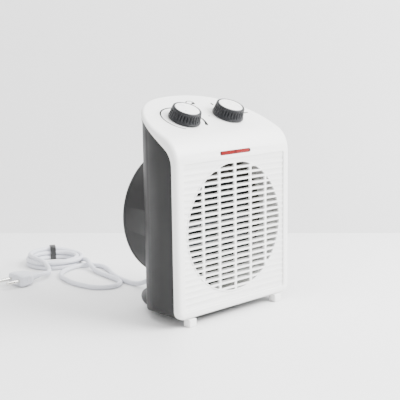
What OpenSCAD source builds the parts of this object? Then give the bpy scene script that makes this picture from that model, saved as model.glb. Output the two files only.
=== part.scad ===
// Small ceramic fan heater: white front shell, dark rear shell, round intake at the back,
// two rotary knobs on a sloping top, PTC heating pack, axial fan and a mains lead.
// Millimetres. +Z up, the air leaves towards -Y, +X is on the right seen from the front.
// The origin is at the middle of the footprint, on the table.

/* [Body] */
// Width of the front shell
body_w = 185; // [183:1:187]
// Depth from the front rim to the back of the rear grille
body_d = 114; // [113:1:115]
// Height of the sloping top where the knobs stand
seat_z = 228; // [227:0.5:229]
// Slope of the top face in degrees
top_tilt = 24; // [23.5:0.5:24.5]
// Radius that blends the front face into the top
brow_r = 32; // [30:1:34]
// Wall thickness of the front shell
wall = 2.5; // [2:0.5:2.5]
// Height of the shell's lower edge above the table
shell_z = 9.5; // [9.5:0.5:10]

/* [Front grille] */
// Height of the round outlet's centre
outlet_z = 105; // [104:1:106]
// Radius inside which the slots are open
outlet_r = 75.4; // [74:0.2:76]
// Height from one slot to the next
slot_pitch = 7; // [6.8:0.1:7]
// Clear height of one slot
slot_h = 4.75; // [4:0.25:5]
// Depth of the louvre blades
louvre_d = 8; // [6:0.5:9]

/* [Air path] */
// Height of the fan's axis
fan_z = 108; // [107:1:109]
// Tip radius of the fan
fan_r = 61; // [58:1:62]
// Number of fan blades
fan_blades = 7; // [5:1:9]
// Height of the round intake's centre
drum_z = 110.5; // [109:0.5:111]
// Outer radius of the round intake
drum_r = 80; // [79:0.5:80]

/* [Knobs] */
// Distance of each knob from the middle
knob_x = 35.4; // [34:0.2:37]
// Height of a knob
knob_h = 15.2; // [14.6:0.2:16]
// Radius of a knob at its foot
knob_r = 19.4; // [18.8:0.2:20]

/* [Mains lead] */
// Diameter of the lead
cord_d = 6.4; // [6.2:0.1:6.4]

/* [Hidden] */
$fn = 96;
hull_fn = 64;

gap = 0.1;
far = 300;
half_w = body_w / 2;
front_y = -body_d / 2;
back_y = body_d / 2;

// plan outline: a flat front, straight sides, round shoulders and one long rear arc
edge_r = 5;
corner_r = 74;
corner_x = half_w - corner_r;
corner_y = front_y + 31;
rear_r = 160;
rear_cy = corner_y - sqrt(pow(rear_r - corner_r, 2) - pow(corner_x, 2));
rear_y = rear_cy + rear_r;

// side outline
seat_y = front_y + 49.7;
round_r = 5;
foot_r = 11;
floor_z = shell_z + 2.5;

// line where the two shells part, seen from the side: upright, a tight arc, one long shallow arc
part_d = 9.5;
tight_r = 24;
tight_at = [front_y + part_d + tight_r, seat_z - 46];
long_r = 400;
join_a = 126;
long_at = tight_at + (tight_r - long_r) * [cos(join_a), sin(join_a)];
lip_w = 3.8;
tongue = 3;
rear_inset = 1.2;
rear_wall = 3;

// ribbed field around the outlet
field_x = 82;
field_lo = 18;
field_hi = 185;
field_y = front_y + 2.5;
plate_t = 2.5;
groove_d = 0.8;
slot_rows = 22;
row_lo = outlet_z - slot_pitch * 10.72;
bar_x = 25.6;
bar_w = 3;
insert_r = outlet_r + 1.5;

// air path
duct_r = 78;
duct_wall = 2;
duct_y0 = field_y + plate_t + 2 + gap;
duct_y1 = -2;
lug_r = 88;
lug_y = -38;
shroud_r = fan_r + 4;
heater_y = -19;
pack_x = 50;
fin_h = 20;
plate_h = 0.6;
stone_h = 2.4;
row_h = stone_h + 2 * plate_h;
pack_h = 4 * fin_h + 3 * row_h;
pack_z = fan_z - pack_h / 2;
pack_y0 = heater_y - 5.5;
pack_d = 14;
drum_wall = 2.2;
drum_y = 50;

// motor
fan_y = 6;
mount_y = 19;
core_y0 = 28;
core_y1 = 44;
rotor_r = 12;
shaft_r = 2;
stud_x = 22;

// shell screws and their wells
post_x = 72;
post_z = [54, 178];
post_y = -18;

// knob spindles
spindle_r = 3;
bush_r = 5;
skirt_gap = 0.8;
knob_top_r = knob_r - 2;
cap_r = knob_top_r - 2.9;

// base: a round tail flattened at the back, seen from above
base_y = -6;
base_r = 81.2;
base_corner_r = 15;
base_corner_y = front_y + body_d - 0.1 - base_corner_r;
base_corner_x = sqrt(pow(base_r - base_corner_r, 2) - pow(base_corner_y - base_y, 2));
base_front = -42;
leg_z = 2;
pad_at = [[-52, 27], [52, 27]];
base_screw_at = [[-62, -12], [62, -12], [-32, 30], [32, 30]];

// mains lead
cord_r = cord_d / 2;
exit_z = 22;
relief_y = 78;
lead_route = [[0, 78, 22], [0, 86, 22], [0, 96, 17.6], [-1, 107, 11], [-2, 118, 5.8], [-3, 131, 3.4],
    [-3, 147, 3.2], [0, 165, 3.2], [6, 184, 3.2], [14, 202, 3.2], [22, 219, 3.2], [26, 236, 3.2],
    [22, 251, 3.2], [10, 260, 3.2], [-6, 261, 3.2], [-22, 256, 3.2], [-37, 246, 3.2], [-48, 230, 3.2],
    [-54, 210, 3.2], [-57, 189, 3.2], [-55, 168, 3.2], [-49, 151, 3.2], [-36, 141, 3.2],
    [-20, 142, 3.2], [-9, 155, 3.2], [-4, 176, 3.2], [-1, 198, 3.2], [3, 219, 3.4], [9, 239, 6],
    [16, 257, 9.8], [23, 274, 7.6], [31, 293, 3.6]];
coil_at = [-4, 308];
turn_r = [31.5, 38];
plug_route = [[-39, 288, 13], [-41, 274, 9.6], [-47, 261, 6.6], [-56, 251, 5.8], [-64, 246, 7.4],
    [-70, 244, 8.5], [-76, 244, 8.5]];
plug_at = [-76, 244, 8.5];
pin_gap = 19;
wire_r = 1.1;

// ---------- shared outlines ----------

module plan(inset) {
    edge = max(edge_r - inset, 0.6);
    side = half_w - inset;
    front = front_y + inset;
    translate([-side, front + edge]) square([2 * side, corner_y - front - edge]);
    translate([edge - side, front]) square([2 * (side - edge), corner_y - front]);
    for (s = [-1, 1])
        translate([s * (side - edge), front + edge]) circle(r = edge);
    intersection() {
        translate([-far, corner_y]) square([2 * far, far]);
        union() {
            for (s = [-1, 1])
                translate([s * corner_x, corner_y]) circle(r = corner_r - inset);
            intersection() {
                translate([0, rear_cy]) circle(r = rear_r - inset);
                polygon([[0, rear_cy], [corner_x * 6, rear_cy + (corner_y - rear_cy) * 6],
                    [-corner_x * 6, rear_cy + (corner_y - rear_cy) * 6]]);
            }
        }
    }
}

// region under the sloping top and behind the front face, as (y, z)
module side_outline(front_in, top_in, r) {
    cy = front_y + front_in + r;
    cz = seat_z + (sin(top_tilt) * (cy - seat_y) - top_in - r) / cos(top_tilt);
    end_y = back_y + 20;
    end_z = seat_z + (sin(top_tilt) * (end_y - seat_y) - top_in) / cos(top_tilt);
    polygon([[cy - r, -20], [cy - r, cz], [cy - r * sin(top_tilt), cz + r * cos(top_tilt)],
        [end_y, end_z], [end_y, -20]]);
    translate([cy, cz]) circle(r = r);
}

module side_solid(front_in, top_in, r) {
    rotate([90, 0, 90]) linear_extrude(far, center = true) side_outline(front_in, top_in, r);
}

// region below and behind the parting line, moved out by out
module parting(out) {
    tight = [for (a = [180 : -6 : join_a]) tight_at + (tight_r + out) * [cos(a), sin(a)]];
    long = [for (a = [join_a - 2 : -2 : 106]) long_at + (long_r + out) * [cos(a), sin(a)]];
    rotate([90, 0, 90]) linear_extrude(far, center = true)
        polygon(concat([[tight[0][0], -20]], tight, long, [[long[len(long) - 1][0], -20]]));
}

// front view of the shells: straight sides with round lower corners
module front_solid(side_in, low_in) {
    side = half_w - side_in;
    rotate([90, 0, 0]) linear_extrude(far, center = true) {
        translate([-side, shell_z + foot_r]) square([2 * side, far]);
        translate([foot_r - half_w, shell_z + low_in]) square([2 * (half_w - foot_r), far]);
        for (s = [-1, 1])
            translate([s * (half_w - foot_r), shell_z + foot_r]) circle(r = foot_r - low_in);
    }
}

module body(plan_in, face_in, r) {
    intersection() {
        linear_extrude(far) plan(plan_in);
        side_solid(face_in, face_in, r);
        front_solid(plan_in, face_in);
    }
}

// along Y from y0 to y1
module bar(x, z, r, y0, y1) {
    translate([x, y1, z]) rotate([90, 0, 0]) cylinder(r = r, h = y1 - y0);
}

module ring(x, z, r, r_in, y0, y1) {
    difference() {
        bar(x, z, r, y0, y1);
        bar(x, z, r_in, y0 - 1, y1 + 1);
    }
}

module block(x0, x1, y0, y1, z0, z1) {
    translate([x0, y0, z0]) cube([x1 - x0, y1 - y0, z1 - z0]);
}

// ten points round a path's point, square to the path there
function ring_at(path, i, r) =
    let (a = path[max(i - 1, 0)], b = path[min(i + 1, len(path) - 1)],
        t = (b - a) / norm(b - a), side = cross(t, abs(t[2]) > 0.9 ? [0, 1, 0] : [0, 0, 1]),
        u = side / norm(side), v = cross(u, t))
    [for (k = [0 : 9]) path[i] + r * (cos(36 * k) * u + sin(36 * k) * v)];

module tube(path, r) {
    last = len(path) - 1;
    points = [for (i = [0 : last]) each ring_at(path, i, r)];
    walls = [for (i = [0 : last - 1]) for (k = [0 : 9])
        [10 * i + k, 10 * i + (k + 1) % 10, 10 * i + 10 + (k + 1) % 10, 10 * i + 10 + k]];
    ends = [[for (k = [9 : -1 : 0]) k], [for (k = [0 : 9]) 10 * last + k]];
    polyhedron(points, concat(walls, ends));
}

module slots(x0, x1, y0, y1) {
    for (row = [-1 : slot_rows - 1])
        block(x0, x1, y0, y1, row_lo + slot_pitch * row - slot_h / 2, row_lo + slot_pitch * row + slot_h / 2);
}

// frame on the sloping top: Z along the spindle, origin on the surface
module on_top(x) {
    translate([x, seat_y, seat_z]) rotate([top_tilt, 0, 0]) children();
}

module at_posts() {
    for (s = [-1, 1])
        for (z = post_z)
            translate([s * post_x, 0, z]) children();
}

module at_lugs() {
    for (a = [45 : 90 : 315])
        translate([lug_r * cos(a), 0, fan_z + lug_r * sin(a)]) children();
}

// ---------- front: shell, grille, feet, lamp ----------

module lens_slot(grow, y0, y1) {
    block(-22.75, 22.75, y0, y1, 192 - 2.25 - grow, 192 + 2.25 + grow);
    for (s = [-1, 1])
        bar(s * 22.75, 192, 2.25 + grow, y0, y1);
}

module front_shell() {
    color("whitesmoke") difference() {
        union() {
            difference() {
                hull() {
                    body(0, round_r, brow_r - round_r, $fn = hull_fn);
                    body(1.5, 1.5, brow_r - 1.5, $fn = hull_fn);
                    body(round_r, 0, brow_r, $fn = hull_fn);
                }
                intersection() {
                    translate([0, 0, floor_z]) linear_extrude(far) plan(wall);
                    side_solid(wall, wall, brow_r - wall);
                }
                parting(0);
            }
            block(-field_x - 3, field_x + 3, field_y, field_y + plate_t, field_lo - 2.5, field_hi + 2.5);
            at_posts() bar(0, 0, 4, field_y + 1, post_y);
            at_lugs() bar(0, 0, 3.2, field_y + 1, lug_y);
        }
        block(-field_x, field_x, front_y - 1, field_y, field_lo, field_hi);
        bar(0, outlet_z, insert_r + 0.15, front_y - 1, field_y + plate_t + 1);
        slots(-field_x, field_x, field_y - 1, field_y + groove_d);
        lens_slot(0.15, front_y - 1, front_y + 9);
        for (s = [-1, 1]) {
            on_top(s * knob_x) translate([0, 0, -6]) cylinder(r = bush_r + 0.2, h = 12);
            translate([s * 71.5, front_y + 5.75, shell_z - 1]) cylinder(r = 2.1, h = 5);
        }
        at_posts() bar(0, 0, 1.5, post_y - 22, post_y + 1);
        at_lugs() bar(0, 0, 1.25, lug_y - 11, lug_y + 1);
    }
}

module front_grille() {
    color("white") difference() {
        union() {
            bar(0, outlet_z, insert_r, field_y, field_y + plate_t + 0.5);
            bar(0, outlet_z, outlet_r - 1.4, field_y, field_y + louvre_d);
            ring(0, outlet_z, insert_r, outlet_r + 0.3, field_y, field_y + plate_t + 2);
            ring(0, outlet_z, 81, outlet_r + 0.3, field_y + plate_t, field_y + plate_t + 2);
        }
        difference() {
            intersection() {
                bar(0, outlet_z, outlet_r, field_y - 1, field_y + louvre_d + 1);
                slots(-outlet_r, outlet_r, field_y - 1, field_y + louvre_d + 1);
            }
            for (i = [-2 : 2])
                block(i * bar_x - bar_w / 2, i * bar_x + bar_w / 2,
                    field_y, field_y + plate_t + 0.5, 0, far);
        }
    }
}

module front_feet() {
    color("white") for (s = [-1, 1]) {
        block(s * 71.5 - 5.5, s * 71.5 + 5.5, front_y + 0.5, front_y + 11, 0, shell_z);
        translate([s * 71.5, front_y + 5.75, shell_z]) cylinder(r = 2, h = 4);
    }
}

module pilot_lens() {
    color("crimson") {
        lens_slot(0, front_y + 0.4, front_y + 5.1);
        block(-26, 26, front_y + 5.1, front_y + 6.6, 189, 196);
    }
}

module lamp_holder() {
    color("ivory") difference() {
        block(-13, 13, front_y + 6.6, front_y + 19, 189, 198.8);
        block(-11.5, 11.5, front_y + 5, front_y + 17.5, 190.5, 197.5);
    }
}

module pilot_lamp() {
    color("orange") translate([-8, front_y + 13, 194.5]) rotate([0, 90, 0]) cylinder(r = 2.8, h = 16);
    color("silver") for (s = [-1, 1])
        bar(s * 6, 194.5, 0.4, front_y + 15.9, front_y + 17.5);
}

// ---------- rear: shell, intake grille, base ----------

module rear_shell() {
    color("dimgray") difference() {
        union() {
            intersection() {
                linear_extrude(far) plan(rear_inset);
                parting(-gap);
                front_solid(rear_inset, gap);
            }
            intersection() {
                linear_extrude(far) plan(0.3);
                difference() {
                    parting(-gap);
                    parting(-gap - lip_w);
                }
                front_solid(0.3, 0.3);
            }
            intersection() {
                translate([0, 0, floor_z + 0.2]) linear_extrude(far) plan(wall + 0.3);
                parting(tongue);
                side_solid(wall + 0.3, wall + 0.3, brow_r - wall - 0.3);
            }
            bar(0, drum_z, drum_r, -20, drum_y);
        }
        translate([0, 0, floor_z]) linear_extrude(far) plan(rear_inset + rear_wall);
        bar(0, drum_z, drum_r - drum_wall, 5, drum_y + 1);
        bar(0, exit_z, 4.5, 40, 60);
        at_posts() bar(0, 0, 3.6, post_y + 2.5, back_y);
        for (p = base_screw_at)
            translate([p[0], p[1], shell_z - 1]) cylinder(r = 1.25, h = 6);
    }
    color("dimgray") {
        intersection() {
            difference() {
                at_posts() bar(0, 0, 5.2, post_y, back_y);
                at_posts() bar(0, 0, 3.6, post_y + 2.5, back_y + 1);
                at_posts() bar(0, 0, 1.8, post_y - 1, back_y);
            }
            linear_extrude(far) plan(rear_inset);
        }
        for (p = base_screw_at)
            difference() {
                translate([p[0], p[1], floor_z]) cylinder(r = 4, h = 9);
                translate([p[0], p[1], shell_z]) cylinder(r = 1.25, h = 20);
            }
    }
}

// round cover with rings and spokes, turned about its own axis and set to face +Y
module rear_grille() {
    rim = 5.5;
    fillet = 3;
    depth = back_y - drum_y;
    color("dimgray") translate([0, drum_y, drum_z]) rotate([-90, 0, 0]) {
        rotate_extrude() {
            difference() {
                translate([drum_r - rim, 0]) square([rim, depth]);
                translate([drum_r - fillet, depth - fillet]) square(fillet);
            }
            translate([drum_r - fillet, depth - fillet]) circle(r = fillet, $fn = 48);
            translate([drum_r - drum_wall - 2.4, -5]) square([2.2, 6]);
        }
        for (r = [17 : 7 : 70])
            difference() {
                translate([0, 0, depth - 4]) cylinder(r = r + 2.5, h = 3);
                translate([0, 0, depth - 5]) cylinder(r = r, h = 5);
            }
        for (a = [0 : 30 : 330])
            rotate([0, 0, a]) translate([10, -1.5, depth - 4]) cube([drum_r - rim - 9, 3, 4]);
        translate([0, 0, depth - 4]) cylinder(r = 12, h = 4);
    }
}

module base_outline(inset) {
    for (s = [-1, 1])
        translate([s * base_corner_x, base_corner_y]) circle(r = base_corner_r - inset);
    translate([-base_corner_x, base_y])
        square([2 * base_corner_x, base_corner_y - base_y + base_corner_r - inset]);
    intersection() {
        translate([0, base_y]) circle(r = base_r - inset);
        polygon([[0, base_y], [3 * base_corner_x, base_y + 3 * (base_corner_y - base_y)], [far, base_front],
            [-far, base_front], [-3 * base_corner_x, base_y + 3 * (base_corner_y - base_y)]]);
    }
}

module base_layer(z, inset) {
    translate([0, 0, z]) linear_extrude(0.1) base_outline(inset, $fn = hull_fn);
}

// plate under the rear shell that flares out behind it as a low rounded tail, on two legs
module base_plinth() {
    color("dimgray") difference() {
        union() {
            difference() {
                hull() {
                    base_layer(8, 12);
                    base_layer(9, 6);
                    base_layer(10.5, 2.5);
                    base_layer(13, 0.4);
                    base_layer(15.5, 0);
                    base_layer(18.5, 1.2);
                    base_layer(21, 4);
                    base_layer(22.4, 8);
                }
                translate([0, 0, shell_z - gap]) linear_extrude(far) plan(rear_inset - gap);
            }
            for (p = pad_at)
                translate([p[0], p[1], leg_z]) cylinder(r = 10, h = 7);
            for (p = base_screw_at)
                translate([p[0], p[1], 5.5]) cylinder(r = 5, h = 3.5);
        }
        for (p = pad_at)
            translate([p[0], p[1], 0]) cylinder(r = 8.1, h = leg_z + 2);
        for (p = base_screw_at) {
            translate([p[0], p[1], 0]) cylinder(r = 1.8, h = far);
            translate([p[0], p[1], 0]) cylinder(r = 3.2, h = 7.4);
        }
        bar(0, exit_z, 6.2, 30, 70);
    }
}

module rubber_pads() {
    color("black") for (p = pad_at)
        translate([p[0], p[1], 0]) cylinder(r = 8, h = leg_z + 2);
}

// ---------- air path ----------

module air_duct() {
    color("white") difference() {
        union() {
            ring(0, fan_z, duct_r + duct_wall, duct_r, duct_y0, duct_y1);
            ring(0, fan_z, duct_r + 0.5, duct_r - 2.5, heater_y + 3, heater_y + 5);
            at_lugs() bar(0, 0, 4.5, lug_y, lug_y + 3);
            for (a = [45 : 90 : 315])
                translate([0, lug_y, fan_z]) rotate([0, -a, 0])
                    translate([duct_r + 1, 0, -2]) cube([lug_r - duct_r - 4, 3, 4]);
            for (s = [-1, 1])
                bar(s * 74, fan_z, 3.4, heater_y + 3, heater_y + 14);
        }
        at_lugs() bar(0, 0, 1.7, lug_y - 1, lug_y + 5);
        for (s = [-1, 1])
            bar(s * 73, fan_z, 1.2, heater_y, heater_y + 12);
    }
}

module fan_shroud() {
    color("white") difference() {
        union() {
            ring(0, fan_z, duct_r + duct_wall, shroud_r, duct_y1, duct_y1 + 2);
            ring(0, fan_z, shroud_r + 2, shroud_r, duct_y1 - 4, duct_y1 + 14);
        }
        for (s = [-1, 1])
            bar(s * 71, fan_z, 1.4, duct_y1 - 1, duct_y1 + 3);
    }
}

module heater_frame() {
    color("tan") difference() {
        bar(0, fan_z, duct_r - 0.3, heater_y, heater_y + 3);
        block(-55, 55, heater_y - 1, heater_y + 4, fan_z - 46, fan_z + 46);
        for (s = [-1, 1])
            bar(s * 73, fan_z, 1.6, heater_y - 1, heater_y + 4);
    }
}

module heater_insulators() {
    color("wheat") for (s = [-1, 1])
        difference() {
            block(s > 0 ? pack_x + 0.2 : -55, s > 0 ? 55 : -pack_x - 0.2, pack_y0 - 1, pack_y0 + pack_d + 1,
                pack_z, pack_z + pack_h);
            for (row = [1 : 3])
                block(-54, 54, pack_y0 + 2, pack_y0 + pack_d - 2,
                    pack_z + row * fin_h + (row - 1) * row_h, pack_z + row * (fin_h + row_h));
        }
}

module ptc_stones() {
    color("gray") for (row = [1 : 3])
        for (i = [-2 : 2])
            block(i * 19 - 9, i * 19 + 9, pack_y0, pack_y0 + pack_d,
                pack_z + row * fin_h + (row - 1) * row_h + plate_h,
                pack_z + row * fin_h + (row - 1) * row_h + plate_h + stone_h);
}

module electrode_plates() {
    color("silver") for (row = [1 : 3])
        for (side = [0, 1]) {
            z = pack_z + row * fin_h + (row - 1) * row_h + side * (plate_h + stone_h);
            block(-49, 49, pack_y0, pack_y0 + pack_d, z, z + plate_h);
            x = side == 0 ? -43 : 37;
            block(x, x + 6, pack_y0 + pack_d, pack_y0 + pack_d + 4, z, z + plate_h);
        }
}

module fin_packs() {
    color("lightgray") for (pack = [0 : 3])
        translate([0, pack_y0, pack_z + pack * (fin_h + row_h)]) {
            block(-49, 49, 0, pack_d, 0, plate_h);
            block(-49, 49, 0, pack_d, fin_h - plate_h, fin_h);
            for (i = [-16 : 16])
                block(i * 3 - 0.3, i * 3 + 0.3, 0, pack_d, plate_h / 2, fin_h - plate_h / 2);
        }
}

module thermal_cutout() {
    color("black") bar(22, fan_z + 60, 7, heater_y + 3, heater_y + 9);
    color("silver") for (s = [-1, 1])
        block(22 + s * 4.5 - 1.5, 22 + s * 4.5 + 1.5, heater_y + 9, heater_y + 12, fan_z + 59.6, fan_z + 60.4);
}

module thermal_fuse() {
    color("gold") translate([-30, heater_y + 5.2, fan_z + 60]) rotate([0, 90, 0]) cylinder(r = 2.2, h = 14);
    color("silver") for (x = [-34, -16])
        translate([x, heater_y + 5.2, fan_z + 60]) rotate([0, 90, 0]) cylinder(r = 0.5, h = 4);
}

// ---------- motor and fan ----------

module motor_mount() {
    color("silver") difference() {
        union() {
            block(-73, 73, mount_y, mount_y + 1.5, fan_z - 7, fan_z + 7);
            for (s = [-1, 1]) {
                block(s > 0 ? 71.5 : -73, s > 0 ? 73 : -71.5, 0, mount_y + 1, fan_z - 7, fan_z + 7);
                block(s > 0 ? 68 : -73, s > 0 ? 73 : -68, 0, 1.5, fan_z - 7, fan_z + 7);
                bar(s * stud_x, fan_z, 3.2, mount_y + 1, core_y0 - 4);
            }
        }
        bar(0, fan_z, 9, mount_y - 1, mount_y + 3);
        for (s = [-1, 1])
            bar(s * stud_x, fan_z, 1.7, mount_y - 1, core_y0);
    }
}

module motor_brackets() {
    color("silver") difference() {
        union() for (y = [core_y0 - 4, core_y1 + 2]) {
            block(-27, 27, y, y + 2, fan_z - 8, fan_z + 8);
            for (s = [-1, 1])
                bar(s * stud_x, fan_z, 3.2, y > core_y1 ? core_y1 : y, y > core_y1 ? y + 1 : core_y0);
        }
        bar(0, fan_z, 5.05, 0, back_y);
        for (s = [-1, 1])
            bar(s * stud_x, fan_z, 1.7, 0, back_y);
    }
}

module motor_core() {
    color("slategray") difference() {
        block(-27, 27, core_y0, core_y1, fan_z - 24, fan_z + 38);
        bar(0, fan_z, rotor_r + 0.5, 0, back_y);
        block(-14, 14, 0, back_y, fan_z + 16, fan_z + 30);
        for (s = [-1, 1])
            bar(s * stud_x, fan_z, 1.7, 0, back_y);
    }
}

module motor_coil() {
    color("chocolate") difference() {
        block(-13.5, 13.5, core_y0 - 6, core_y1 + 6, fan_z + 20, fan_z + 48);
        block(-14, 14, core_y0 - gap, core_y1 + gap, fan_z + 30 - gap, fan_z + 38 + gap);
    }
}

module motor_bushes() {
    color("darkgoldenrod") difference() {
        union() {
            bar(0, fan_z, 5, core_y0 - 5, core_y0 - 1);
            bar(0, fan_z, 6.5, core_y0 - 5.5, core_y0 - 4);
            bar(0, fan_z, 5, core_y1 + 1, core_y1 + 5);
            bar(0, fan_z, 6.5, core_y1 + 4, core_y1 + 5.5);
        }
        bar(0, fan_z, shaft_r + 0.04, 0, back_y);
    }
}

module motor_screws() {
    color("silver") for (s = [-1, 1]) {
        bar(s * stud_x, fan_z, 1.5, mount_y - 1, core_y1 + 6.4);
        bar(s * stud_x, fan_z, 2.8, mount_y - 2, mount_y);
        bar(s * stud_x, fan_z, 3, core_y1 + 4, core_y1 + 6.4);
    }
}

module motor_shaft() {
    color("silver") bar(0, fan_z, shaft_r, fan_y - 11, core_y1 + 7);
}

module motor_rotor() {
    color("gray") ring(0, fan_z, rotor_r, shaft_r, core_y0, core_y1);
}

module fan_impeller() {
    color("lightgray") {
        difference() {
            bar(0, fan_z, 16, fan_y - 8, fan_y + 8);
            ring(0, fan_z, 14, 5, fan_y - 6, fan_y + 9);
            bar(0, fan_z, shaft_r, -20, 20);
        }
        difference() {
            intersection() {
                bar(0, fan_z, fan_r, fan_y - 9, fan_y + 9);
                for (i = [0 : fan_blades - 1])
                    translate([0, fan_y, fan_z]) rotate([0, i * 360 / fan_blades, 0])
                        rotate([0, 0, 32]) translate([-14, -0.9, 0]) cube([28, 1.8, fan_r + 5]);
            }
            bar(0, fan_z, 15.5, -20, 20);
        }
    }
}

module impeller_clip() {
    color("silver") ring(0, fan_z, 4.5, shaft_r, fan_y - 10, fan_y - 8);
}

// ---------- controls ----------

module knob(grooves) {
    foot = skirt_gap;
    lean = atan((knob_r - knob_top_r) / (knob_h - foot));
    difference() {
        union() {
            translate([0, 0, foot]) cylinder(r = knob_r, h = 2);
            translate([0, 0, foot + 2]) cylinder(r1 = knob_r - 0.4, r2 = knob_top_r, h = knob_h - foot - 2);
        }
        translate([0, 0, foot - 1]) cylinder(r = knob_top_r - 2, h = 8.2);
        translate([0, 0, knob_h - 1.5]) cylinder(r = cap_r + 0.05, h = 2);
        translate([0, 0, -1]) cylinder(r = spindle_r, h = 14);
        for (a = [0 : 360 / grooves : 359])
            rotate([0, 0, a]) translate([knob_r + 0.5, 0, foot + 2.6]) rotate([0, -lean, 0])
                cylinder(r = 1.1, h = knob_h, $fn = 24);
    }
    difference() {
        translate([0, 0, 4.6]) cylinder(r = 5.6, h = 4);
        translate([0, 0, -1]) cylinder(r = spindle_r, h = 14);
    }
}

module knob_cap() {
    translate([0, 0, knob_h - 1.5]) cylinder(r = cap_r, h = 1.2);
}

module spindle() {
    translate([0, 0, -10]) cylinder(r = spindle_r, h = 23);
}

module bushed_body(x, y, h) {
    difference() {
        union() {
            translate([-x / 2, -y / 2, -wall - h]) cube([x, y, h]);
            translate([0, 0, -wall - 2]) cylinder(r = bush_r, h = wall + 6);
        }
        translate([0, 0, -10.2]) cylinder(r = spindle_r + 0.06, h = 20);
    }
}

module hex_nut() {
    difference() {
        cylinder(r = 7.5, h = 2.6, $fn = 6);
        translate([0, 0, -1]) cylinder(r = bush_r + 0.05, h = 6);
    }
}

module thermostat_body() {
    color("peru") on_top(-knob_x) bushed_body(30, 26, 16);
}

module thermostat_blade() {
    color("gold") on_top(-knob_x) {
        translate([-13, -4, -wall - 20]) cube([24, 8, 0.8]);
        translate([-13, -4, -wall - 20]) cube([4, 8, 4]);
        translate([9, -3, -wall - 19.2]) cube([2, 6, 3.2]);
    }
}

module thermostat_nut() {
    color("silver") on_top(-knob_x) hex_nut();
}

module thermostat_shaft() {
    color("silver") on_top(-knob_x) spindle();
}

module thermostat_knob() {
    color("darkslategray") on_top(-knob_x) knob(30);
}

module thermostat_cap() {
    color("white") on_top(-knob_x) difference() {
        knob_cap();
        translate([-6.2, -4.8, knob_h - 0.7]) cylinder(r = 0.9, h = 2);
    }
}

module switch_body() {
    color("saddlebrown") on_top(knob_x) bushed_body(28, 28, 15);
}

module switch_tabs() {
    color("gold") on_top(knob_x) for (i = [-2 : 2])
        translate([i * 5.2 - 0.4, -3, -wall - 22]) cube([0.8, 6, 7]);
}

module switch_nut() {
    color("silver") on_top(knob_x) hex_nut();
}

module switch_shaft() {
    color("silver") on_top(knob_x) spindle();
}

module switch_knob() {
    color("darkslategray") on_top(knob_x) knob(30);
}

module switch_cap() {
    color("white") on_top(knob_x) knob_cap();
}

// ---------- wiring and cord entry ----------

module terminal_block() {
    color("ivory") difference() {
        block(-18, 18, 2, 16, floor_z, floor_z + 13);
        for (i = [-1 : 1])
            translate([i * 11, 9, floor_z + 4]) cylinder(r = 2.2, h = 20);
    }
}

module internal_wiring() {
    top = seat_z - 28.5;
    start = floor_z + 13;
    color("firebrick") tube([[11, 9, start], [12, 9, start + 4], [20, 12, start + 7], [48, 20, start + 8],
        [55, 22.5, start + 13], [56, 23, start + 20], [56, 23, top - 8], [54, 20, top - 2], [46, 12, top],
        [42, 4, top + 2]], wire_r);
    color("royalblue") tube([[0, 9, start], [1, 10, start + 8], [10, 14, start + 12], [50, 25, start + 12],
        [57, 26.5, start + 18], [58, 26.5, start + 26], [60, 22, top - 8], [56, 14, top - 4],
        [48, 4, top - 2], [46, -2, top - 1]], wire_r);
    color("black") tube([[-11, 9, start], [-12, 9, start + 4], [-20, 12, start + 7], [-48, 20, start + 8],
        [-55, 22.5, start + 13], [-56, 23, start + 20], [-56, 23, top - 8], [-54, 20, top - 2],
        [-46, 12, top], [-42, 6, top + 1]], wire_r);
}

module inner_lead() {
    color("white") bar(0, exit_z, cord_r - 0.1, 20, 43);
}

module cord_saddle() {
    color("dimgray") difference() {
        block(-14, 14, 29, 38, floor_z, exit_z - 0.3);
        bar(0, exit_z, cord_r, 20, 45);
        for (s = [-1, 1])
            translate([s * 9.5, 33.5, floor_z + 1]) cylinder(r = 1.25, h = 20);
    }
}

module cord_clamp() {
    color("gray") difference() {
        block(-14, 14, 30, 37, exit_z + 0.3, exit_z + 6);
        bar(0, exit_z, cord_r, 20, 45);
        for (s = [-1, 1])
            translate([s * 9.5, 33.5, exit_z - 1]) cylinder(r = 1.6, h = 20);
    }
}

module clamp_screws() {
    color("silver") for (s = [-1, 1])
        translate([s * 9.5, 33.5, 0]) {
            translate([0, 0, exit_z - 8]) cylinder(r = 1.2, h = 14.2);
            translate([0, 0, exit_z + 6]) cylinder(r = 2.6, h = 1.8);
        }
}

// ---------- fasteners ----------

module shell_screws() {
    color("silver") at_posts() {
        bar(0, 0, 1.45, post_y - 16, post_y + 3);
        bar(0, 0, 3, post_y + 2.5, post_y + 5);
    }
}

module duct_screws() {
    color("silver") at_lugs() {
        bar(0, 0, 1.2, lug_y - 9, lug_y + 3.5);
        bar(0, 0, 2.6, lug_y + 3, lug_y + 5);
    }
}

module heater_screws() {
    color("silver") for (s = [-1, 1]) {
        bar(s * 73, fan_z, 1.15, heater_y - 0.5, heater_y + 11);
        bar(s * 73, fan_z, 2.6, heater_y - 2, heater_y);
    }
}

module base_screws() {
    color("silver") for (p = base_screw_at)
        translate([p[0], p[1], 0]) {
            translate([0, 0, 5.6]) cylinder(r = 2.8, h = 1.8);
            translate([0, 0, 7]) cylinder(r = 1.2, h = 10);
        }
}

// ---------- mains lead ----------

module cord_bushing() {
    color("whitesmoke") {
        bar(0, exit_z, 4.4, 44, 49.5);
        bar(0, exit_z, 5.8, 43, 45);
        bar(0, exit_z, 5.6, rear_y - rear_inset + 0.15, 50.5);
        translate([0, 50.5, exit_z]) rotate([-90, 0, 0]) cylinder(r1 = 4.9, r2 = 3.8, h = relief_y - 50.5);
    }
}

module power_cord() {
    color("whitesmoke") tube(lead_route, cord_r);
}

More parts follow.
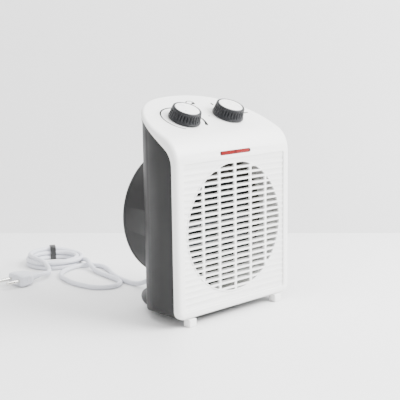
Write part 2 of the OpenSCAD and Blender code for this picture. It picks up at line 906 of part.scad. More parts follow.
module cord_coil() {
    inner = turn_r[0] - cord_r;
    outer = turn_r[1] + cord_r;
    color("whitesmoke") translate(coil_at) rotate_extrude() {
        translate([inner, 0]) square([outer - inner, 2 * cord_d]);
        translate([turn_r[0], 2 * cord_d]) square([turn_r[1] - turn_r[0], 5.5]);
    }
}

// strap round the coil's section, on the far side
module cord_tie() {
    inner = turn_r[0] - cord_r;
    outer = turn_r[1] + cord_r;
    color("black") translate(coil_at) rotate([0, 0, 60]) translate([inner - 1.6, -4, 0])
        difference() {
            cube([outer - inner + 3, 8, 2 * cord_d + 6.7]);
            translate([1.2, -1, -1]) cube([outer - inner + 0.6, 10, 2 * cord_d + 6.6]);
        }
}

module plug_lead() {
    color("whitesmoke") tube(plug_route, cord_r);
}

// two-pin plug lying flat, pins towards -X
module plug_body() {
    color("whitesmoke") translate(plug_at) rotate([0, -90, 0]) {
        cylinder(r1 = 4.2, r2 = 6, h = 12);
        translate([-8.4, -12, 12]) cube([16.8, 24, 8]);
        translate([-8.4, -17, 18]) cube([16.8, 34, 16]);
        translate([-7.4, -15.5, 34]) cube([14.8, 31, 3]);
    }
}

module plug_pins() {
    color("silver") for (s = [-1, 1])
        translate([plug_at[0] - 37, plug_at[1] + s * pin_gap / 2, plug_at[2]]) rotate([0, -90, 0])
            cylinder(r = 2.4, h = 19);
}

front_shell();
front_grille();
front_feet();
pilot_lens();
lamp_holder();
pilot_lamp();
rear_shell();
rear_grille();
base_plinth();
rubber_pads();
air_duct();
fan_shroud();
heater_frame();
heater_insulators();
ptc_stones();
electrode_plates();
fin_packs();
thermal_cutout();
thermal_fuse();
motor_mount();
motor_brackets();
motor_core();
motor_coil();
motor_bushes();
motor_screws();
motor_shaft();
motor_rotor();
fan_impeller();
impeller_clip();
thermostat_body();
thermostat_blade();
thermostat_nut();
thermostat_shaft();
thermostat_knob();
thermostat_cap();
switch_body();
switch_tabs();
switch_nut();
switch_shaft();
switch_knob();
switch_cap();
terminal_block();
internal_wiring();
inner_lead();
cord_saddle();
cord_clamp();
clamp_screws();
shell_screws();
duct_screws();
heater_screws();
base_screws();
cord_bushing();
power_cord();
cord_coil();
cord_tie();
plug_lead();
plug_body();
plug_pins();
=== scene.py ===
"""Looks for a compact ceramic fan heater: white front shell, dark rear shell, two fluted dials, mains lead.

Everything is in metres, in the CAD model's frame: +Z up, air leaves towards -Y, +X on the right.
"""
import math

import bmesh
import bpy
from mathutils import Matrix, Vector


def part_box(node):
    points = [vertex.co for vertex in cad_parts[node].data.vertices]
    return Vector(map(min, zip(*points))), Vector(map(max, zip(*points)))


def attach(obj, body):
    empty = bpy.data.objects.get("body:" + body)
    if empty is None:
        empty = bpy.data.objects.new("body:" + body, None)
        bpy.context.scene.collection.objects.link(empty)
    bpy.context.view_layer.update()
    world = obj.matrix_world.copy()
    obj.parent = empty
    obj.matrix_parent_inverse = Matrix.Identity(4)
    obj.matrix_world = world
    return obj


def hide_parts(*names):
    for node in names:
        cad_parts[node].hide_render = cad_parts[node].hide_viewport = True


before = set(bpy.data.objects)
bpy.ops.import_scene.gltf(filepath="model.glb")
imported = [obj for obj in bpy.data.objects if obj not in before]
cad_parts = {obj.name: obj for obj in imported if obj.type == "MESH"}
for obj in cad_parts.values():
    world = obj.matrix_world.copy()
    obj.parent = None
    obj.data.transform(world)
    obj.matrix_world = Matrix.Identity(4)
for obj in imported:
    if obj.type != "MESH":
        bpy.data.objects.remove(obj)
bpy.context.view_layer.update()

MM = 0.001

# ---------- places and sizes of the heater ----------

shell_lo, shell_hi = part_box("front_shell")
HALF_W = (shell_hi[0] - shell_lo[0]) / 2
FRONT_Y = shell_lo[1]
SHELL_Z = shell_lo[2]
EDGE_R = 5 * MM
FACE_IN = 1.2 * MM
FOOT_R = 11 * MM
BROW_R = 32 * MM
TILT = math.radians(24)
SEAT_Y = FRONT_Y + 49.7 * MM
SEAT_Z = 228 * MM
CORNER_R = 74 * MM
REAR_R = 160 * MM
CORNER = (HALF_W - CORNER_R, FRONT_Y + 31 * MM)
REAR_CY = CORNER[1] - math.sqrt((REAR_R - CORNER_R) ** 2 - CORNER[0] ** 2)
JOIN = math.atan2(CORNER[1] - REAR_CY, CORNER[0])
WALL = 2.5 * MM

# parting line of the two shells, seen from the side: upright, a tight arc, one long shallow arc
TIGHT_R = 24 * MM
TIGHT_AT = (FRONT_Y + 33.5 * MM, SEAT_Z - 46 * MM)
PART_TURN = math.radians(126)
LONG_R = 400 * MM
LONG_AT = (TIGHT_AT[0] + (TIGHT_R - LONG_R) * math.cos(PART_TURN),
           TIGHT_AT[1] + (TIGHT_R - LONG_R) * math.sin(PART_TURN))
PART_GAP = 0.1 * MM
LIP_W = 3.8 * MM

# rear shell, with its screw posts
REAR_IN = 1.2 * MM
REAR_WALL = 3 * MM
POSTS = [(x * MM, z * MM) for x in (-72, 72) for z in (54, 178)]
POST_Y = -18 * MM
POST_R = 5.2 * MM
WELL_R = 3.6 * MM
WELL_FLOOR = 2.5 * MM
SCREW_R = 1.8 * MM
FLOOR = 2.5 * MM

# grooved field of the front face and the round outlet in it; row 0 of the slots is at ROW_LO
FIELD_X = 82 * MM
FIELD_Z = (18 * MM, 185 * MM)
FIELD_D = 2.5 * MM
FIELD_R = 2.5 * MM
FIELD_Y = FRONT_Y + FIELD_D
GROOVE_D = 0.8 * MM
OUTLET_Z = 105 * MM
OUTLET_R = 75.4 * MM
INSERT_R = 76.9 * MM
INSERT_GAP = 0.15 * MM
BLADE_R = 74 * MM
BLADE_D = 8 * MM
PITCH = 7 * MM
SLOT_H = 4.75 * MM
ROWS = range(-1, 22)
ROW_LO = OUTLET_Z - 10.72 * PITCH
BAR_X = 25.6 * MM
BAR_W = 3 * MM
LENS_Z = 192 * MM
LENS_HALF = 22.75 * MM
LENS_R = 2.25 * MM
LENS_SLOT_R = 2.4 * MM

# intake drum behind, dials on the sloping top, lead at the foot of the back
DRUM_Z = 110.5 * MM
DRUM_R = 80 * MM
DRUM_Y = 50 * MM
BACK_Y = 57 * MM
KNOB_X = 35.4 * MM
KNOB_H = 15.2 * MM
KNOB_R = 19.4 * MM
KNOB_TOP_R = KNOB_R - 2 * MM
CAP_R = KNOB_TOP_R - 2.9 * MM
EXIT_Z = 22 * MM
CORD_D = 6.4 * MM

# beyond the heater on every side, for the blocks that cut it
WIDE, TALL, TALLER = 0.2, 0.3, 0.4


# ---------- camera ----------

CAMERA_AT = (-0.7738, -0.8066, 0.3275)
CAMERA_TURNS = (-43.58, 10.04, -0.81)
FOCAL_LENGTH = 85.5
SENSOR_WIDTH = 36


def linked(name, data):
    """New object in the scene."""
    thing = bpy.data.objects.new(name, data)
    bpy.context.collection.objects.link(thing)
    return thing


def make_camera():
    """Camera at the photograph's viewing angle: 10 degrees above, 44 degrees to the left of the front."""
    azimuth, elevation, roll = (math.radians(degrees) for degrees in CAMERA_TURNS)
    back = Vector((math.sin(azimuth) * math.cos(elevation), -math.cos(azimuth) * math.cos(elevation),
                   math.sin(elevation)))
    level = Vector((math.cos(azimuth), math.sin(azimuth), 0))
    upright = back.cross(level)
    right = level * math.cos(roll) + upright * math.sin(roll)
    up = upright * math.cos(roll) - level * math.sin(roll)
    data = bpy.data.cameras.new("camera")
    data.lens = FOCAL_LENGTH
    data.sensor_width = SENSOR_WIDTH
    camera = linked("camera", data)
    turn = Matrix((right, up, back)).transposed().to_4x4()
    camera.matrix_world = Matrix.Translation(CAMERA_AT) @ turn
    bpy.context.scene.camera = camera


make_camera()


# ---------- materials ----------

ROUGH_SPREAD = 0.06
NOISE_LOW, NOISE_HIGH = 0.3, 0.7

# painted shade along the lens: place from its middle, 0, to its end, 1, and the share of the colour left
# there
LENS_PAINTED_SHADE = ((0.04, 0.45), (0.1, 1), (0.86, 1), (0.92, 0.22), (1.0, 0.16))
LENS_END = 25 * MM


def link(tree, source, out, target, into):
    tree.links.new(source.outputs[out], target.inputs[into])


def shader_node(tree, kind, **values):
    """New shader node with some inputs set; their names have underscores for spaces."""
    made = tree.nodes.new("ShaderNode" + kind)
    for name, value in values.items():
        made.inputs[name.replace("_", " ")].default_value = value
    return made


def surface(name, colour, rough, metal=0.0, tint=0.03, tint_size=0.03, grain=0.00003, grain_size=0.0009,
            specular=0.5, through=0.0):
    """Moulded or rolled surface: colour and roughness drift a little over it, and a fine grain bumps it."""
    material = bpy.data.materials.new(name)
    material.use_nodes = True
    tree = material.node_tree
    shader = tree.nodes["Principled BSDF"]
    place = shader_node(tree, "TexCoord")

    broad = shader_node(tree, "TexNoise", Scale=1 / tint_size, Detail=4)
    link(tree, place, "Object", broad, "Vector")
    drift = shader_node(tree, "ValToRGB")
    for i, (position, level) in enumerate(((NOISE_LOW, 1 - tint), (NOISE_HIGH, 1 + tint))):
        stop = drift.color_ramp.elements[i]
        stop.position, stop.color = position, (*[min(1, c * level) for c in colour], 1)
    link(tree, broad, "Fac", drift, "Fac")
    link(tree, drift, "Color", shader, "Base Color")

    gloss = shader_node(tree, "MapRange", From_Min=NOISE_LOW, From_Max=NOISE_HIGH,
                 To_Min=max(0.02, rough - ROUGH_SPREAD), To_Max=min(1, rough + ROUGH_SPREAD))
    link(tree, broad, "Fac", gloss, "Value")
    link(tree, gloss, "Result", shader, "Roughness")

    fine = shader_node(tree, "TexNoise", Scale=1 / grain_size, Detail=3)
    link(tree, place, "Object", fine, "Vector")
    bump = shader_node(tree, "Bump", Strength=0.5, Distance=grain)
    link(tree, fine, "Fac", bump, "Height")
    link(tree, bump, "Normal", shader, "Normal")

    shader.inputs["Metallic"].default_value = metal
    shader.inputs["Specular IOR Level"].default_value = specular
    shader.inputs["Transmission Weight"].default_value = through
    return material


def paint_lens_shade(material):
    """Paints shade into a lens's colour at its two ends, where it turns away, and darkens it over the lamp's
    holder in the middle.
    """
    tree = material.node_tree
    shader = tree.nodes["Principled BSDF"]
    before = shader.inputs["Base Color"].links[0].from_socket
    place = shader_node(tree, "TexCoord")
    split = shader_node(tree, "SeparateXYZ")
    size = shader_node(tree, "Math")
    size.operation = "ABSOLUTE"
    spread = shader_node(tree, "MapRange", From_Max=LENS_END)
    ramp = shader_node(tree, "ValToRGB")
    stops = ramp.color_ramp.elements
    for i, (position, level) in enumerate(LENS_PAINTED_SHADE):
        stop = stops[i] if i < len(stops) else stops.new(position)
        stop.position, stop.color = position, (level, level, level, 1)
    mix = shader_node(tree, "Mix")
    mix.data_type = "RGBA"
    mix.blend_type = "MULTIPLY"
    mix.inputs[0].default_value = 1
    link(tree, place, "Object", split, "Vector")
    link(tree, split, "X", size, 0)
    link(tree, size, 0, spread, "Value")
    link(tree, spread, "Result", ramp, "Fac")
    tree.links.new(before, mix.inputs[6])
    link(tree, ramp, "Color", mix, 7)
    tree.links.new(mix.outputs[2], shader.inputs["Base Color"])


WHITE = surface("white_abs", (0.80, 0.80, 0.79), 0.36, tint=0.008, grain=0.00002, specular=0.45)
DARK = surface("dark_abs", (0.0115, 0.0113, 0.0118), 0.5, tint=0.08, grain=0.00006, specular=0.26)
KNOB = surface("knob_plastic", (0.0042, 0.0048, 0.0066), 0.42, tint=0.06, grain=0.00003, specular=0.3)
CAP = surface("cap_plastic", (0.80, 0.80, 0.79), 0.3, tint=0.008)
INK = surface("printing_ink", (0.004, 0.004, 0.0045), 0.6, tint=0.05, grain=0.00001, specular=0.1)
RED = surface("red_lens", (0.15, 0.0002, 0.0008), 0.32, tint=0.06, tint_size=0.008, specular=0.2)
# painted shade at the lens's two ends, and darker over the holder in its middle
paint_lens_shade(RED)
RUBBER = surface("rubber", (0.02, 0.02, 0.02), 0.75, tint=0.1, grain=0.00012, grain_size=0.0006)
CORD = surface("cord_pvc", (0.62, 0.63, 0.68), 0.45, tint=0.02, grain=0.00004, grain_size=0.0012)
DUCT = surface("duct_plastic", (0.72, 0.72, 0.70), 0.5, tint=0.03)
HOLDER = surface("holder_nylon", (0.70, 0.67, 0.56), 0.5, tint=0.04)
MICA = surface("mica_board", (0.035, 0.030, 0.024), 0.7, tint=0.22, tint_size=0.004, grain=0.00008)
STONE = surface("ptc_ceramic", (0.10, 0.10, 0.11), 0.8, tint=0.1, tint_size=0.002, grain=0.0001)
ALUMINIUM = surface("coated_aluminium", (0.03, 0.03, 0.032), 0.55, tint=0.1, tint_size=0.006)
SHEET = surface("sheet_steel", (0.46, 0.47, 0.48), 0.38, metal=1, tint=0.08, tint_size=0.01)
STEEL = surface("bright_steel", (0.60, 0.60, 0.61), 0.25, metal=1, tint=0.05, tint_size=0.004)
COPPER = surface("copper_winding", (0.60, 0.24, 0.10), 0.35, metal=1, tint=0.15, tint_size=0.003,
                 grain=0.0002)
BRASS = surface("brass", (0.72, 0.53, 0.22), 0.3, metal=1, tint=0.06, tint_size=0.004)
BLACK = surface("black_plastic", (0.018, 0.018, 0.018), 0.45, tint=0.1)
FAN = surface("fan_plastic", (0.40, 0.41, 0.43), 0.42, tint=0.04)
BAKELITE = surface("bakelite", (0.08, 0.035, 0.02), 0.28, tint=0.2, tint_size=0.006)
WIRE = surface("wire_insulation", (0.42, 0.03, 0.03), 0.4, tint=0.05)
PIN = surface("pin_metal", (0.75, 0.74, 0.70), 0.16, metal=1, tint=0.04, tint_size=0.003)
GLOW = surface("lamp_glass", (0.9, 0.45, 0.25), 0.1, tint=0.05, through=0.7)

NODE_LOOKS = {
    WHITE: ["front_shell", "front_grille", "front_feet"],
    DARK: ["rear_shell", "rear_grille", "base_plinth", "cord_saddle"],
    RED: ["pilot_lens"], GLOW: ["pilot_lamp"], HOLDER: ["lamp_holder", "terminal_block"],
    RUBBER: ["rubber_pads"], DUCT: ["air_duct", "fan_shroud"],
    MICA: ["heater_frame", "heater_insulators"],
    STONE: ["ptc_stones"], ALUMINIUM: ["fin_packs", "electrode_plates"],
    SHEET: ["motor_mount", "motor_brackets", "motor_core", "motor_rotor"],
    STEEL: ["motor_shaft", "thermostat_shaft", "switch_shaft", "impeller_clip", "thermostat_nut",
            "switch_nut", "motor_screws", "clamp_screws", "shell_screws", "duct_screws", "heater_screws",
            "base_screws"],
    COPPER: ["motor_coil"], BRASS: ["motor_bushes", "thermostat_blade", "switch_tabs", "thermal_fuse"],
    BLACK: ["thermal_cutout", "cord_clamp", "cord_tie"], FAN: ["fan_impeller"],
    BAKELITE: ["thermostat_body", "switch_body"], KNOB: ["thermostat_knob", "switch_knob"],
    CAP: ["thermostat_cap", "switch_cap"], WIRE: ["internal_wiring"],
    CORD: ["inner_lead", "cord_bushing", "power_cord", "cord_coil", "plug_lead", "plug_body"],
    PIN: ["plug_pins"],
}


def dress(thing, material):
    thing.data.materials.clear()
    thing.data.materials.append(material)


for look, names in NODE_LOOKS.items():
    for name in names:
        dress(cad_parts[name], look)


# ---------- mesh helpers ----------

def add(name, mesh, material, body="body", smooth=35):
    """New piece from a mesh, shaded smooth except across edges sharper than the angle given."""
    piece = linked(name, mesh)
    mesh.materials.append(material)
    mesh.shade_smooth()
    mesh.set_sharp_from_angle(angle=math.radians(smooth))
    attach(piece, body)
    return piece


def mesh_of(points, faces):
    """Clean mesh with all its faces turned outwards."""
    mesh = bpy.data.meshes.new("mesh")
    mesh.from_pydata([tuple(p) for p in points], [], faces)
    mesh.validate()
    fresh = bmesh.new()
    fresh.from_mesh(mesh)
    bmesh.ops.remove_doubles(fresh, verts=fresh.verts, dist=1e-7)
    bmesh.ops.recalc_face_normals(fresh, faces=fresh.faces)
    fresh.to_mesh(mesh)
    fresh.free()
    return mesh


def wheel_faces(steps, count, last):
    """Quads round an axis between rows of count points; the first last points each join on to the next."""
    faces = []
    for i in range(steps):
        ahead = ((i + 1) % steps - i) * count
        for j in range(last):
            a, b = i * count + j, i * count + (j + 1) % count
            faces.append((a, b, b + ahead, a + ahead))
    return faces


def turned(profile, steps=96, place=None, closed=True):
    """Mesh turned about Z from a profile of (radius, height) points, closed or open, moved by place."""
    points = []
    for i in range(steps):
        turn = math.tau * i / steps
        points += [(r * math.cos(turn), r * math.sin(turn), h) for r, h in profile]
    count = len(profile)
    mesh = mesh_of(points, wheel_faces(steps, count, count if closed else count - 1))
    if place:
        mesh.transform(place)
    return mesh


def spun(rows, steps, place):
    """Solid turned about Z from (radius, height) rows in millimetres, from axis to axis."""
    return turned([(r * MM, h * MM) for r, h in rows], steps, place, closed=False)


def baked(piece):
    """Applies the piece's modifiers to its mesh."""
    graph = bpy.context.evaluated_depsgraph_get()
    mesh = bpy.data.meshes.new_from_object(piece.evaluated_get(graph))
    piece.modifiers.clear()
    old = piece.data
    piece.data = mesh
    bpy.data.meshes.remove(old)


def cut(piece, cutter_mesh, operation="DIFFERENCE"):
    """Takes the cutter's volume out of the piece, or joins or keeps what they share."""
    cutter = linked("cutter", cutter_mesh)
    change = piece.modifiers.new("cut", "BOOLEAN")
    change.operation = operation
    change.solver = "EXACT"
    change.object = cutter
    baked(piece)
    bpy.data.objects.remove(cutter)


def unite(piece, other):
    """Joins another piece to the piece and removes it."""
    cut(piece, other.data.copy(), "UNION")
    bpy.data.objects.remove(other)


def soften(piece, width, segments=3, angle=35):
    """Rounds the piece's sharp edges."""
    change = piece.modifiers.new("soften", "BEVEL")
    change.width = width
    change.segments = segments
    change.limit_method = "ANGLE"
    change.angle_limit = math.radians(angle)
    baked(piece)
    piece.data.shade_smooth()
    piece.data.set_sharp_from_angle(angle=math.radians(angle))


def box_parts(boxes):
    """One mesh of several boxes, each given by its lowest and highest corner."""
    points, faces = [], []
    for lo, hi in boxes:
        start = len(points)
        points += [(x, y, z) for x in (lo[0], hi[0]) for y in (lo[1], hi[1]) for z in (lo[2], hi[2])]
        faces += [tuple(start + i for i in face) for face in
                  ((0, 1, 3, 2), (4, 6, 7, 5), (0, 4, 5, 1), (2, 3, 7, 6), (0, 2, 6, 4), (1, 5, 7, 3))]
    return mesh_of(points, faces)


def joined(*meshes):
    fresh = bmesh.new()
    for mesh in meshes:
        fresh.from_mesh(mesh)
    result = bpy.data.meshes.new("joined")
    fresh.to_mesh(result)
    fresh.free()
    return result


def facing_y(x, y, z):
    """Turns a Z axis to +Y and moves it to a place."""
    return Matrix.Translation((x, y, z)) @ Matrix.Rotation(-math.pi / 2, 4, "X")


def on_top(x):
    """The frame of a dial: Z along its spindle, origin on the sloping top."""
    return Matrix.Translation((x, SEAT_Y, SEAT_Z)) @ Matrix.Rotation(TILT, 4, "X")


def loft(rings, cap_ends=False):
    """Quads between closed rings of equal length."""
    count = len(rings[0])
    points = [p for ring in rings for p in ring]
    faces = []
    for i in range(len(rings) - 1):
        for j in range(count):
            k = (j + 1) % count
            faces.append((i * count + j, i * count + k, (i + 1) * count + k, (i + 1) * count + j))
    if cap_ends:
        faces.append(tuple(range(count)))
        faces.append(tuple((len(rings) - 1) * count + j for j in range(count)))
    return points, faces


def prism(outline, axis, low, high):
    """Closed block from low to high along axis 0, 1 or 2, with its outline in the two other axes in order."""
    rings = []
    for level in (low, high):
        ring = []
        for a, b in outline:
            point = [a, b]
            point.insert(axis, level)
            ring.append(tuple(point))
        rings.append(ring)
    points, faces = loft(rings, cap_ends=True)
    return mesh_of(points, faces)


def rod(x, z, radius, y0, y1, steps=64):
    """Round bar along Y."""
    length = y1 - y0
    return turned([(0, 0), (radius, 0), (radius, length), (0, length)], steps, facing_y(x, y0, z),
                  closed=False)


def arc(centre, radius, first, last, steps):
    """Points of a circle from the first angle to the last, in degrees."""
    points = []
    for i in range(steps + 1):
        turn = math.radians(first + (last - first) * i / steps)
        points.append((centre[0] + radius * math.cos(turn), centre[1] + radius * math.sin(turn)))
    return points


def section(r0, r1, h0, h1, round_off, outer_back=None, steps=4):
    """Outline of a ring's cross-section with round corners; the outer one at h1 may have its own radius."""
    corners = [(r0, h0, 180, round_off), (r1, h0, 270, round_off),
               (r1, h1, 0, outer_back or round_off), (r0, h1, 90, round_off)]
    points = []
    for r, h, first, radius in corners:
        centre = (r + radius if r == r0 else r - radius, h + radius if h == h0 else h - radius)
        points += arc(centre, radius, first, first + 90, steps)
    return points


def blend(stops, t):
    """Values between rows of (place, value, value ...), eased from row to row."""
    for low, high in zip(stops, stops[1:]):
        if t <= high[0]:
            u = (t - low[0]) / (high[0] - low[0])
            u = u * u * (3 - 2 * u)
            return [a + (b - a) * u for a, b in zip(low[1:], high[1:])]
    return list(stops[-1][1:])


# ---------- mains lead, first because its room is checked ----------

LEAD_ROUTE = [(0, 78, 22), (0, 86, 22), (0, 96, 17.6), (-1, 107, 11), (-2, 118, 5.8), (-3, 131, 3.4),
              (-3, 147, 3.2), (0, 165, 3.2), (6, 184, 3.2), (14, 202, 3.2), (22, 219, 3.2), (26, 236, 3.2),
              (22, 251, 3.2), (10, 260, 3.2), (-6, 261, 3.2), (-22, 256, 3.2), (-37, 246, 3.2),
              (-48, 230, 3.2), (-54, 210, 3.2), (-57, 189, 3.2), (-55, 168, 3.2), (-49, 151, 3.2),
              (-36, 141, 3.2), (-20, 142, 3.2), (-9, 155, 3.2), (-4, 176, 3.2), (-1, 198, 3.2),
              (3, 219, 3.4), (9, 239, 6), (16, 257, 9.8), (23, 274, 7.6)]
COIL_AT = (-4, 308)
# angle in degrees, radius and height along the coil: a turn and a half on the table, a little less on top
# of that, and a third of a turn above
COIL_STEPS = [(-23, 38, 3.6), (0, 38, 3.2), (235, 38, 3.2), (337, 31.5, 3.2), (525, 31.5, 3.2),
              (595, 31.5, 9.6), (775, 31.5, 9.6), (877, 38, 9.6), (1065, 38, 9.6), (1150, 34.75, 15.1),
              (1260, 34.75, 15.1)]
COIL_STEP_ANGLE = 20
PLUG_ROUTE = [(-39, 288, 13), (-41, 274, 9.6), (-47, 261, 6.6), (-56, 251, 5.8), (-64, 246, 7.4),
              (-70, 244, 8.5), (-76, 244, 8.5)]
PLUG_AT = (-76, 244, 8.5)
PLUG_LENGTH = 37
PIN_GAP = 19
TIE_ANGLE = 60


def coil_points():
    """Points along the coil, eased from each step to the next."""
    points = []
    first, last = COIL_STEPS[0][0], COIL_STEPS[-1][0]
    for i in range(int((last - first) / COIL_STEP_ANGLE) + 1):
        angle = first + COIL_STEP_ANGLE * i
        radius, height = blend(COIL_STEPS, angle)
        turn = math.radians(angle)
        points.append((COIL_AT[0] + radius * math.cos(turn), COIL_AT[1] + radius * math.sin(turn), height))
    return points


def make_lead():
    """The whole lead as one tube: from the sleeve along the table, round the coil and on to the plug."""
    route = LEAD_ROUTE + coil_points() + PLUG_ROUTE
    curve = bpy.data.curves.new("mains_lead", "CURVE")
    curve.dimensions = "3D"
    curve.resolution_u = 6
    curve.bevel_depth = CORD_D / 2
    curve.bevel_resolution = 4
    curve.use_fill_caps = True
    spline = curve.splines.new("BEZIER")
    spline.bezier_points.add(len(route) - 1)
    for point, place in zip(spline.bezier_points, route):
        point.co = Vector(place) * MM
        point.handle_left_type = point.handle_right_type = "AUTO"
    lead = linked("mains_lead", curve)
    curve.materials.append(CORD)
    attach(lead, "body")
    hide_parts("power_cord", "cord_coil", "plug_lead")
    return lead


def make_relief():
    """Flexible sleeve where the lead leaves the heater: a flange, then ribs that get thinner to the end."""
    start, end = 48.95, 78.0
    flange = [(0, 0), (5.0, 0), (5.5, 0.3), (5.6, 0.8), (5.4, 1.5), (4.2, 1.7)]
    # one rib and the groove after it, from the rib's own radius and foot
    rib = [(-1.0, 0), (-0.15, 0.25), (0, 0.7), (0, 1.6), (-0.15, 2.05), (-1.0, 2.3), (-1.05, 3.3)]
    ribs, first_rib, pitch, rib_r, thinner = 7, 2.0, 3.5, 5.0, 0.14
    tip = [(3.9, 26.8), (3.95, 27.2), (3.9, 28.4), (3.6, end - start), (0, end - start)]
    rows = flange
    for i in range(ribs):
        radius, low = rib_r - thinner * i, first_rib + pitch * i
        rows = rows + [(radius + out, low + along) for out, along in rib]
    relief = add("strain_relief", spun(rows + tip, 48, facing_y(0, start * MM, EXIT_Z)), CORD)
    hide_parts("cord_bushing")


def make_tie():
    """Soft strap with a small buckle round the far side of the coil."""
    inner, outer, top = 28.3, 41.2, 2 * CORD_D / MM + 5.5
    near, far, low, high = inner - 1.6, outer + 1.4, 0.02, top + 1.2
    thick, corner_r = 1.0, 2.2
    outside, inside = [], []
    # rows across the strap: place, and how far the loop is grown there
    for y, grow in ((-4, -0.35), (-3.7, 0), (3.7, 0), (4, -0.35)):
        for inset, loops in ((0, outside), (thick, inside)):
            a, b = near + inset - grow, far - inset + grow
            c, d = low + inset - grow, high - inset + grow
            radius = corner_r - inset
            loop = []
            for cx, cz, first in ((b - radius, c + radius, -90), (b - radius, d - radius, 0),
                                  (a + radius, d - radius, 90), (a + radius, c + radius, 180)):
                loop += [(x, y, z) for x, z in arc((cx, cz), radius, first, first + 90, 5)]
            loops.append(loop)
    points, faces = loft(outside + inside[::-1] + [outside[0]])
    band = mesh_of([(x * MM, y * MM, z * MM) for x, y, z in points], faces)
    buckle = box_parts([((far * MM - 1.2 * MM, -3 * MM, 4 * MM), (far * MM + MM, 3 * MM, 9 * MM))])
    mesh = joined(band, buckle)
    coil = Matrix.Translation((COIL_AT[0] * MM, COIL_AT[1] * MM, 0))
    mesh.transform(coil @ Matrix.Rotation(math.radians(TIE_ANGLE), 4, "Z"))
    tie = add("coil_strap", mesh, BLACK)
    soften(tie, 0.25 * MM, 2)
    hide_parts("cord_tie")


def groove(at, first, last, pitch, depth):
    """Depth of a row of soft grooves at one place along a piece."""
    if not first < at < last:
        return 0
    return depth * (0.5 - 0.5 * math.cos(math.tau * (at - first) / pitch)) ** 2


def make_plug():
    """Moulded two-pin plug lying flat: ribbed neck, wide grip with grooved sides, two round pins."""
    # along the plug: place, half height, half width and the power that squares its section
    stops = [(0, 4.2, 4.2, 2), (12, 6, 6, 2), (16, 8.0, 11.5, 2.6), (20, 8.35, 14.5, 3.4), (24, 8.3, 16.4, 4),
             (32, 8.35, 16.9, 5), (34.4, 8.1, 16.6, 5), (36, 7.6, 16.0, 5), (37, 6.9, 15.2, 5)]
    rings = []
    steps, around = 74, 56
    for i in range(steps + 1):
        h = PLUG_LENGTH * i / steps
        up, side, power = blend(stops, h)
        neck = groove(h, 1.2, 11, 2.45, 0.55)
        grip = groove(h, 21, 32.5, 2.3, 0.6)
        up, side = up - neck, side - neck - grip
        ring = []
        for j in range(around):
            turn = math.tau * j / around
            c, d = math.cos(turn), math.sin(turn)
            ring.append(((PLUG_AT[0] - h) * MM,
                         (PLUG_AT[1] + side * math.copysign(abs(d) ** (2 / power), d)) * MM,
                         (PLUG_AT[2] + up * math.copysign(abs(c) ** (2 / power), c)) * MM))
        rings.append(ring)
    points, faces = loft(rings, cap_ends=True)
    body = add("plug_body_visual", mesh_of(points, faces), CORD, smooth=50)
    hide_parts("plug_body")
    pin = [(0, 0), (2.4, 0), (2.4, 17.2), (2.25, 18.1), (1.8, 18.7), (1.0, 19), (0, 19)]
    pins = []
    for side in (-1, 1):
        place = Matrix.Translation(((PLUG_AT[0] - PLUG_LENGTH) * MM, (PLUG_AT[1] + side * PIN_GAP / 2) * MM,
                                    PLUG_AT[2] * MM)) @ Matrix.Rotation(-math.pi / 2, 4, "Y")
        pins.append(spun(pin, 32, place))
    pair = add("plug_pins_visual", joined(*pins), PIN)
    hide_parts("plug_pins")


make_relief()
make_tie()
make_plug()
lead = make_lead()


# ---------- front shell ----------

def profile(front_in, top_in, radius):
    """Side view of the shell moved in: arc's centre, radius and last angle, and the height after it."""
    centre_y = FRONT_Y + front_in + radius
    centre_z = SEAT_Z + (math.sin(TILT) * (centre_y - SEAT_Y) - top_in - radius) / math.cos(TILT)
    return (centre_y, centre_z), radius, math.pi / 2 + TILT, lambda y: top_height(y, top_in)


def parting(out=0.0):
    """Side view of the parting line, moved out."""
    return (TIGHT_AT, TIGHT_R + out, PART_TURN,
            lambda y: LONG_AT[1] + math.sqrt((LONG_R + out) ** 2 - (y - LONG_AT[0]) ** 2))


def top_height(y, top_in=0):
    return SEAT_Z + (math.sin(TILT) * (y - SEAT_Y) - top_in) / math.cos(TILT)


def plan_arc(side_in, angle):
    """Point of the rear outline: corner arc up to JOIN, then the long rear arc."""
    if angle <= JOIN:
        radius = CORNER_R - side_in
        return CORNER[0] + radius * math.cos(angle), CORNER[1] + radius * math.sin(angle)
    radius = REAR_R - side_in
    return radius * math.cos(angle), REAR_CY + radius * math.sin(angle)


def rear_turns(corner_steps=18, rear_steps=14):
    turns = [JOIN * i / corner_steps for i in range(corner_steps)]
    return turns + [JOIN + (math.pi / 2 - JOIN) * i / rear_steps for i in range(rear_steps + 1)]


def half_loop(side_in, side):
    """Right half of the outline, from the foot of the front face up and over to the middle of the back."""
    (centre_y, centre_z), radius, last, height = side
    front = centre_y - radius
    low = SHELL_Z + FOOT_R
    foot_steps, face_steps, brow_steps, side_steps = 8, 10, 18, 3
    points = []
    for i in range(foot_steps):
        turn = math.radians(-90 + 90 * i / foot_steps)
        points.append((HALF_W - FOOT_R + (FOOT_R - side_in) * math.cos(turn), front,
                       low + (FOOT_R - side_in) * math.sin(turn)))
    for i in range(face_steps):
        points.append((HALF_W - side_in, front, low + (centre_z - low) * i / face_steps))
    for i in range(brow_steps):
        turn = math.pi - (math.pi - last) * i / brow_steps
        points.append((HALF_W - side_in, centre_y + radius * math.cos(turn),
                       centre_z + radius * math.sin(turn)))
    start = centre_y + radius * math.cos(last)
    for i in range(side_steps):
        y = start + (CORNER[1] - start) * i / side_steps
        points.append((HALF_W - side_in, y, height(y)))
    for turn in rear_turns():
        x, y = plan_arc(side_in, turn)
        points.append((x, y, height(y)))
    points[-1] = (0, points[-1][1], points[-1][2])
    return points


def full_loop(half):
    """The half and its mirror image."""
    return half + [(-x, y, z) for x, y, z in half[-2::-1]]


